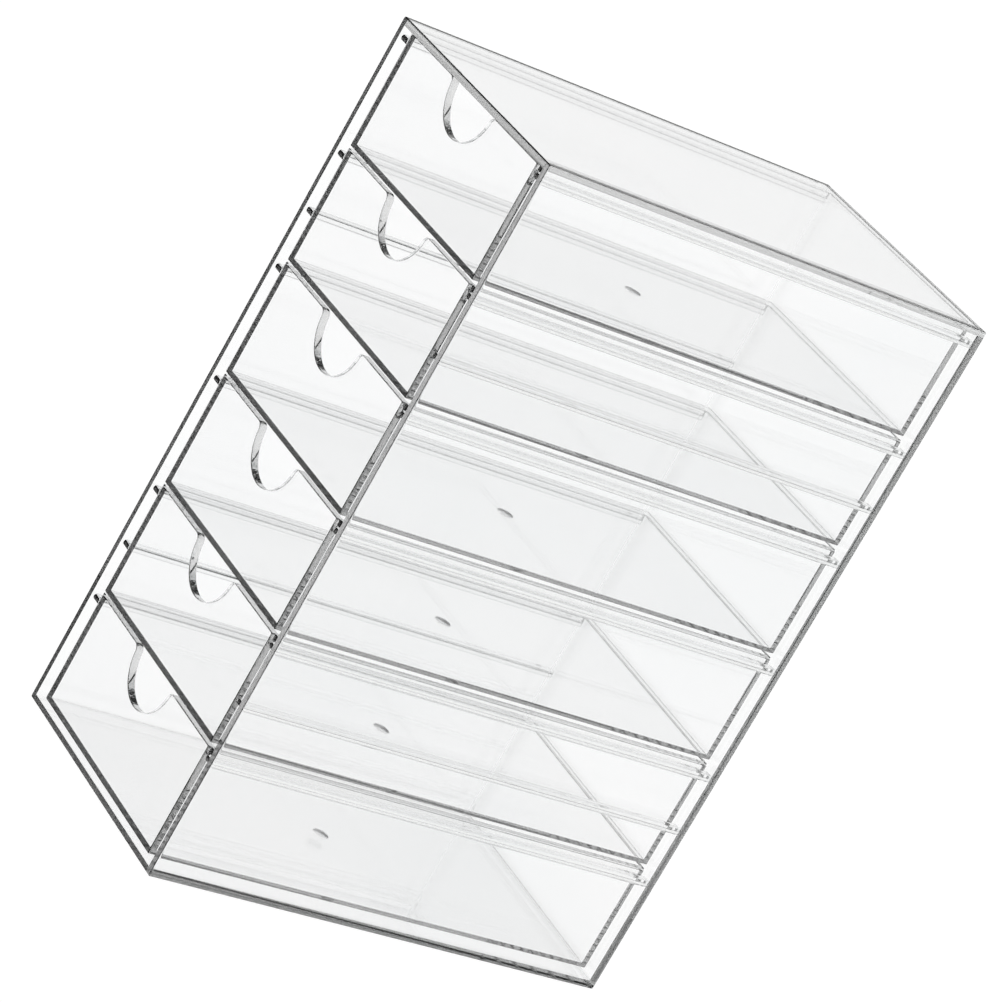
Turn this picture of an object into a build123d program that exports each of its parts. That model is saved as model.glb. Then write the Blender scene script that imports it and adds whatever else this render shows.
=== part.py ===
from build123d import *
import os

# Clear desktop drawer tower: an open-fronted case of bonded clear panels with
# six moulded drawers that hang by their rim flanges on rails inside the case.
# Frame: origin at the centre of the underside, +Z up, drawer fronts face -Y,
# +X to the right of someone facing the drawers. Millimetres.

# ---------------------------------------------------------------- dimensions
# case
CASE_W = 104.0            # outside width, X
CASE_D = 175.0            # outside depth, Y
CASE_H = 250.0            # outside height, Z
SIDE_T = 2.6              # side panel thickness
TOP_T = 2.3               # top panel thickness
BASE_T = 2.2              # base panel thickness
BACK_T = 2.0              # back panel thickness
CASE_R = 0.6              # rounding along the outer edges of the case

# drawers
N_DRAWERS = 6
PITCH = 40.8              # drawer to drawer
DRAWER_Z0 = 3.9           # underside of the lowest drawer above the table
DRAWER_H = 39.5           # underside to rim
DRAWER_HALF_W = 45.0      # half the outside width of the tub
DRAWER_FRONT_Y = -CASE_D / 2 + 0.65
DRAWER_BACK_Y = CASE_D / 2 - BACK_T - 0.4
DRAWER_FRONT_T = 2.8      # front wall
DRAWER_SIDE_T = 1.3       # side walls
DRAWER_BACK_T = 1.7       # back wall
DRAWER_FLOOR_T = 1.2
TUB_R = 0.6               # vertical outer corners of the tub
TUB_BOTTOM_R = 0.4        # outer edge round the underside
TUB_IN_R = 0.3            # vertical inner corners
TUB_FLOOR_R = 0.25        # inner corner between walls and floor
RIM_R = 0.35              # softened rim

# rim flanges that carry the drawer
FLANGE_HALF_W = 47.3
FLANGE_T = 1.9
FLANGE_FRONT = 1.2        # set back from the front face
FLANGE_BACK = 1.2         # set back from the rear face
FLANGE_CORNER_R = 1.4     # rounded ends in plan

# finger notch in the top of each drawer front
NOTCH_R = 13.4
NOTCH_DROP = 0.6          # centre of the half round below the rim
NOTCH_SHOULDER_R = 2.4

# mark left by the moulding gate under the middle of each drawer floor
GATE_R = 2.9
GATE_DEPTH = 0.6

# rails bonded to the inside of the side panels
RAIL_W = 4.0              # how far they stand out from the panel
RAIL_H = 2.2
RAIL_TOP = 37.4           # rail top above the underside of its drawer
RAIL_FRONT = 1.1          # front nose behind the case front
RAIL_NOSE_R = 1.0
RAIL_EDGE_R = 1.0         # half-round inner edge
SPARE_AFTER = (2, 5)      # drawers with an unused rail half a pitch lower

OUT = "parts"
os.makedirs(OUT, exist_ok=True)

HX = CASE_W / 2
HY = CASE_D / 2
IX = HX - SIDE_T
IZ0 = BASE_T
IZ1 = CASE_H - TOP_T
IY1 = HY - BACK_T


def block(x0, x1, y0, y1, z0, z1):
    """Axis-aligned block between two corners."""
    return Pos((x0 + x1) / 2, (y0 + y1) / 2, (z0 + z1) / 2) * Box(
        x1 - x0, y1 - y0, z1 - z0
    )


def near(a, b, tol=1e-3):
    return abs(a - b) < tol


def edges_where(part, test):
    """Edges whose middle point passes the test."""
    return [e for e in part.edges() if test(e.center(), e)]


def save(part, name):
    solids = part.solids()
    assert len(solids) == 1, (name, len(solids))
    solid = solids[0]
    solid.label = name
    export_step(solid, f"{OUT}/{name}.step")


def drawer_z(k):
    """Underside of drawer k, counted from the top."""
    return DRAWER_Z0 + (N_DRAWERS - k) * PITCH


def rail_heights():
    """Top of every rail on one side, by name."""
    z = {}
    for k in range(1, N_DRAWERS + 1):
        z[f"rail_{k}"] = drawer_z(k) + RAIL_TOP
        if k in SPARE_AFTER:
            which = "upper" if k == SPARE_AFTER[0] else "lower"
            z[f"spare_rail_{which}"] = drawer_z(k) + RAIL_TOP - PITCH / 2
    return z


# ---------------------------------------------------------------- case panels
def rail(sign, z_top):
    """Strip bonded along a side panel, with a rounded front nose."""
    xi, xe = sign * IX, sign * (IX - RAIL_W)
    yf = -HY + RAIL_FRONT
    p = block(min(xi, xe), max(xi, xe), yf, IY1, z_top - RAIL_H, z_top)
    p = fillet(
        edges_where(
            p,
            lambda c, e: near(c.Y, yf) and near(abs(c.Z - z_top + RAIL_H / 2), RAIL_H / 2),
        ),
        RAIL_NOSE_R,
    )
    return fillet(
        edges_where(p, lambda c, e: near(c.X, xe) and e.length > 100), RAIL_EDGE_R
    )


def side_panel(sign):
    """Full-height side, all its outside edges rounded."""
    xo, xi = sign * HX, sign * IX
    p = block(min(xo, xi), max(xo, xi), -HY, HY, 0, CASE_H)
    return fillet(
        edges_where(p, lambda c, e: near(c.X, xo) or near(e.length, SIDE_T)), CASE_R
    )


def top_panel():
    """Top, let in between the sides, rounded along its front and rear edges."""
    p = block(-IX, IX, -HY, HY, IZ1, CASE_H)
    return fillet(
        edges_where(p, lambda c, e: near(c.Z, CASE_H) and near(abs(c.Y), HY)), CASE_R
    )


def base_panel():
    """Base, let in between the sides, rounded along its front and rear edges."""
    p = block(-IX, IX, -HY, HY, 0, IZ0)
    return fillet(
        edges_where(p, lambda c, e: near(c.Z, 0) and near(abs(c.Y), HY)), CASE_R
    )


def back_panel():
    """Back, inside the other four panels and flush with their rear edges."""
    return block(-IX, IX, IY1, HY, IZ0, IZ1)


# ---------------------------------------------------------------- drawer
def drawer():
    """One-piece moulded drawer, underside at z = 0."""
    y0, y1 = DRAWER_FRONT_Y, DRAWER_BACK_Y
    hw, h = DRAWER_HALF_W, DRAWER_H

    tub = block(-hw, hw, y0, y1, 0, h)
    tub = fillet(
        edges_where(tub, lambda c, e: near(c.Z, h / 2) and near(e.length, h)), TUB_R
    )
    tub = fillet(edges_where(tub, lambda c, e: near(c.Z, 0)), TUB_BOTTOM_R)

    # carrying flanges along both sides of the rim
    for s in (-1, 1):
        xa, xb = sorted((s * (hw - 1.0), s * FLANGE_HALF_W))
        f = block(xa, xb, y0 + FLANGE_FRONT, y1 - FLANGE_BACK, h - FLANGE_T, h)
        f = fillet(
            edges_where(
                f,
                lambda c, e: near(c.X, s * FLANGE_HALF_W) and near(e.length, FLANGE_T),
            ),
            FLANGE_CORNER_R,
        )
        tub += f

    # cavity
    ci = hw - DRAWER_SIDE_T
    ch = h + 5 - DRAWER_FLOOR_T
    cav = block(-ci, ci, y0 + DRAWER_FRONT_T, y1 - DRAWER_BACK_T, DRAWER_FLOOR_T, h + 5)
    cav = fillet(edges_where(cav, lambda c, e: near(e.length, ch)), TUB_IN_R)
    cav = fillet(edges_where(cav, lambda c, e: near(c.Z, DRAWER_FLOOR_T)), TUB_FLOOR_R)
    tub -= cav

    # finger notch: a half round with eased shoulders, cut through the front wall
    zc = h - NOTCH_DROP
    r, q = NOTCH_R, NOTCH_SHOULDER_R
    xs = ((r + q) ** 2 - (NOTCH_DROP - q) ** 2) ** 0.5      # shoulder centre
    tx, tz = xs * r / (r + q), zc + (NOTCH_DROP - q) * r / (r + q)
    mx, mz = (tx + xs) / 2 - xs, (tz + h) / 2 - (h - q)
    k = q / (mx**2 + mz**2) ** 0.5
    mx, mz = xs + mx * k, h - q + mz * k                    # middle of the shoulder
    with BuildSketch(Plane.XZ) as sk:
        with BuildLine():
            ThreePointArc((xs, h), (mx, mz), (tx, tz))
            ThreePointArc((tx, tz), (0, zc - r), (-tx, tz))
            ThreePointArc((-tx, tz), (-mx, mz), (-xs, h))
            Polyline((-xs, h), (-xs, h + 8), (xs, h + 8), (xs, h))
        make_face()
    cut = Pos(0, y0 + DRAWER_FRONT_T / 2, 0) * extrude(
        sk.sketch, DRAWER_FRONT_T / 2 + 1.5, both=True
    )
    tub -= cut

    # gate mark: a shallow round hollow in the underside
    rs = (GATE_R**2 + GATE_DEPTH**2) / (2 * GATE_DEPTH)
    tub -= Pos(0, (y0 + y1) / 2, GATE_DEPTH - rs) * Sphere(rs)
    return tub


d0 = drawer()
rim = [
    e for e in d0.edges()
    if near(e.center().Z, DRAWER_H) and near(e.bounding_box().size.Z, 0)
]
d0 = fillet(rim, RIM_R)
print("drawer volume", round(d0.volume, 1), "solids", len(d0.solids()), d0.is_valid)


save(top_panel(), "top_panel")
save(base_panel(), "base_panel")
save(side_panel(-1), "left_side_panel")
save(side_panel(1), "right_side_panel")
save(back_panel(), "back_panel")

for sign, side in ((-1, "left"), (1, "right")):
    for name, z in rail_heights().items():
        save(rail(sign, z), f"{side}_{name}")

for k in range(1, N_DRAWERS + 1):
    save(Pos(0, 0, drawer_z(k)) * d0, f"drawer_{k}")
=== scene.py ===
import bpy
from mathutils import Matrix, Vector

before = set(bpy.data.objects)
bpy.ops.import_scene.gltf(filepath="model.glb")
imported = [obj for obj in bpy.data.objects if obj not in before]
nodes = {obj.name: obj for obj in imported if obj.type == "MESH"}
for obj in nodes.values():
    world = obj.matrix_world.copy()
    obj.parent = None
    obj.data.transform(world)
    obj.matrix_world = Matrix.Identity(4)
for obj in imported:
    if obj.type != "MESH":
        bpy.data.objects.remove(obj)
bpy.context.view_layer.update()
scene = bpy.context.scene


def new_material(name):
    m = bpy.data.materials.new(name)
    m.use_nodes = True
    t = m.node_tree
    t.nodes.clear()
    return m, t


def clear_plastic(name, tint, rough, scale, depth, gate=None):
    """Clear plastic: full transmission, a faint cloud in the tint and in the polish, and a slight absorption that greys the long way through a sheet."""
    m, t = new_material(name)
    out = t.nodes.new("ShaderNodeOutputMaterial")
    p = t.nodes.new("ShaderNodeBsdfPrincipled")
    p.inputs["Transmission Weight"].default_value = 1.0
    p.inputs["IOR"].default_value = 1.49
    p.inputs["Metallic"].default_value = 0.0
    co = t.nodes.new("ShaderNodeTexCoord")
    cloud = t.nodes.new("ShaderNodeTexNoise")
    cloud.inputs["Scale"].default_value = scale
    cloud.inputs["Detail"].default_value = 3.0
    t.links.new(co.outputs["Object"], cloud.inputs["Vector"])
    ramp = t.nodes.new("ShaderNodeValToRGB")
    ramp.color_ramp.elements[0].position = 0.3
    ramp.color_ramp.elements[1].position = 0.7
    ramp.color_ramp.elements[0].color = (tint[0], tint[1], tint[2], 1)
    ramp.color_ramp.elements[1].color = (1, 1, 1, 1)
    t.links.new(cloud.outputs["Fac"], ramp.inputs["Fac"])
    t.links.new(ramp.outputs["Color"], p.inputs["Base Color"])
    polish = t.nodes.new("ShaderNodeMapRange")
    polish.inputs["From Min"].default_value = 0.3
    polish.inputs["From Max"].default_value = 0.7
    polish.inputs["To Min"].default_value = rough[0]
    polish.inputs["To Max"].default_value = rough[1]
    t.links.new(cloud.outputs["Fac"], polish.inputs["Value"])
    t.links.new(polish.outputs["Result"], p.inputs["Roughness"])
    if gate:
        # a frosted spot where the moulding was gated, in the middle of the drawer floor
        centre, radius, frost = gate
        off = t.nodes.new("ShaderNodeVectorMath")
        off.operation = "SUBTRACT"
        off.inputs[1].default_value = (centre[0], centre[1], 0.0)
        t.links.new(co.outputs["Object"], off.inputs[0])
        flat = t.nodes.new("ShaderNodeVectorMath")
        flat.operation = "MULTIPLY"
        flat.inputs[1].default_value = (1.0, 1.0, 0.0)
        t.links.new(off.outputs["Vector"], flat.inputs[0])
        far = t.nodes.new("ShaderNodeVectorMath")
        far.operation = "LENGTH"
        t.links.new(flat.outputs["Vector"], far.inputs[0])
        spot = t.nodes.new("ShaderNodeMapRange")
        spot.inputs["From Min"].default_value = radius * 0.92
        spot.inputs["From Max"].default_value = radius
        spot.inputs["To Min"].default_value = frost
        spot.inputs["To Max"].default_value = 0.0
        t.links.new(far.outputs["Value"], spot.inputs["Value"])
        both = t.nodes.new("ShaderNodeMath")
        both.operation = "MAXIMUM"
        t.links.new(polish.outputs["Result"], both.inputs[0])
        t.links.new(spot.outputs["Result"], both.inputs[1])
        t.links.new(both.outputs["Value"], p.inputs["Roughness"])
    t.links.new(p.outputs["BSDF"], out.inputs["Surface"])
    v = t.nodes.new("ShaderNodeVolumeAbsorption")
    v.inputs["Color"].default_value = (0.9, 0.9, 0.9, 1)
    v.inputs["Density"].default_value = depth
    t.links.new(v.outputs["Volume"], out.inputs["Volume"])
    return m


# how strongly each panel greys light that runs the long way through it
DEPTH = {"top_panel": 26.0, "base_panel": 85.0, "left_side_panel": 90.0, "right_side_panel": 40.0, "back_panel": 95.0}
case_mats = {n: clear_plastic(n + "_clear", (0.985, 0.99, 0.99), (0.0, 0.015), 9.0, d) for n, d in DEPTH.items()}
rail_mat = clear_plastic("rail_clear", (0.985, 0.99, 0.99), (0.0, 0.015), 14.0, 90.0)
drawer_mat = clear_plastic("drawer_clear", (0.985, 0.988, 0.99), (0.0, 0.015), 11.0, 80.0, gate=((0.0, -0.000875), 0.0029, 0.3))

# Every piece keeps its own shape; touching faces of the case stand a hairline apart.
GAP = 0.00001
for name, o in nodes.items():
    o.data.materials.clear()
    o.data.materials.append(
        drawer_mat if name.startswith("drawer") else rail_mat if "rail" in name else case_mats[name]
    )
    if not name.startswith("drawer"):
        hair = o.modifiers.new("hairline", "DISPLACE")
        hair.direction = "NORMAL"
        hair.mid_level = 0.0
        hair.strength = -GAP

# The floor: one large pale sheet under the object.
me = bpy.data.meshes.new("floor")
s = 6.0
me.from_pydata([(-s, -s, -0.0003), (s, -s, -0.0003), (s, s, -0.0003), (-s, s, -0.0003)], [], [(0, 1, 2, 3)])
floor = bpy.data.objects.new("floor", me)
scene.collection.objects.link(floor)
m, t = new_material("floor_white")
out = t.nodes.new("ShaderNodeOutputMaterial")
p = t.nodes.new("ShaderNodeBsdfPrincipled")
p.inputs["Base Color"].default_value = (0.1, 0.1, 0.1, 1)
p.inputs["Roughness"].default_value = 0.9
p.inputs["Specular IOR Level"].default_value = 0.0
p.inputs["Emission Color"].default_value = (1, 1, 1, 1)
p.inputs["Emission Strength"].default_value = 0.97
t.links.new(p.outputs["BSDF"], out.inputs["Surface"])
me.materials.append(m)

# Soft light from all round: a white band above the horizon, a dark gap, and a bright softbox overhead.
world = bpy.data.worlds.new("studio")
scene.world = world
world.use_nodes = True
wt = world.node_tree
bg = wt.nodes["Background"]
wco = wt.nodes.new("ShaderNodeTexCoord")
wxyz = wt.nodes.new("ShaderNodeSeparateXYZ")
wramp = wt.nodes.new("ShaderNodeValToRGB")
wt.links.new(wco.outputs["Generated"], wxyz.inputs["Vector"])
wt.links.new(wxyz.outputs["Z"], wramp.inputs["Fac"])
wt.links.new(wramp.outputs["Color"], bg.inputs["Color"])
SKY = [(0.0, 0.13), (0.13, 0.13), (0.15, 0.29), (0.56, 0.29), (0.585, 0.03), (0.805, 0.03), (0.83, 0.42)]
els = wramp.color_ramp.elements
for i, (pos, v) in enumerate(SKY):
    e = els[i] if i < 2 else els.new(pos)
    e.position = pos
    e.color = (v, v, v, 1)
bg.inputs["Strength"].default_value = 2.95

scene.view_settings.view_transform = "Standard"
# a little more contrast in the dark edge lines
scene.view_settings.use_curve_mapping = True
tone = scene.view_settings.curve_mapping
curve = tone.curves[3]
for x, y in ((0.12, 0.04), (0.3, 0.21), (0.6, 0.575)):
    curve.points.new(x, y)
tone.update()
scene.cycles.max_bounces = 96
scene.cycles.transmission_bounces = 96
scene.cycles.glossy_bounces = 96
scene.cycles.transparent_max_bounces = 96

# The camera.
cam = bpy.data.cameras.new("camera")
cam.sensor_width = 36.0
cam.lens = 171.8884
co = bpy.data.objects.new("camera", cam)
scene.collection.objects.link(co)
right = Vector((0.41585884, 0.77280105, 0.47941627))
up = Vector((-0.49016388, -0.25357234, 0.83393072))
back = Vector((0.76602924, -0.58179000, 0.27334886))
mat = Matrix((right, up, back)).transposed().to_4x4()
mat.translation = Vector((1.13998696, -0.8691714, 0.5368884))
co.matrix_world = mat
cam.clip_end = 50.0
scene.camera = co
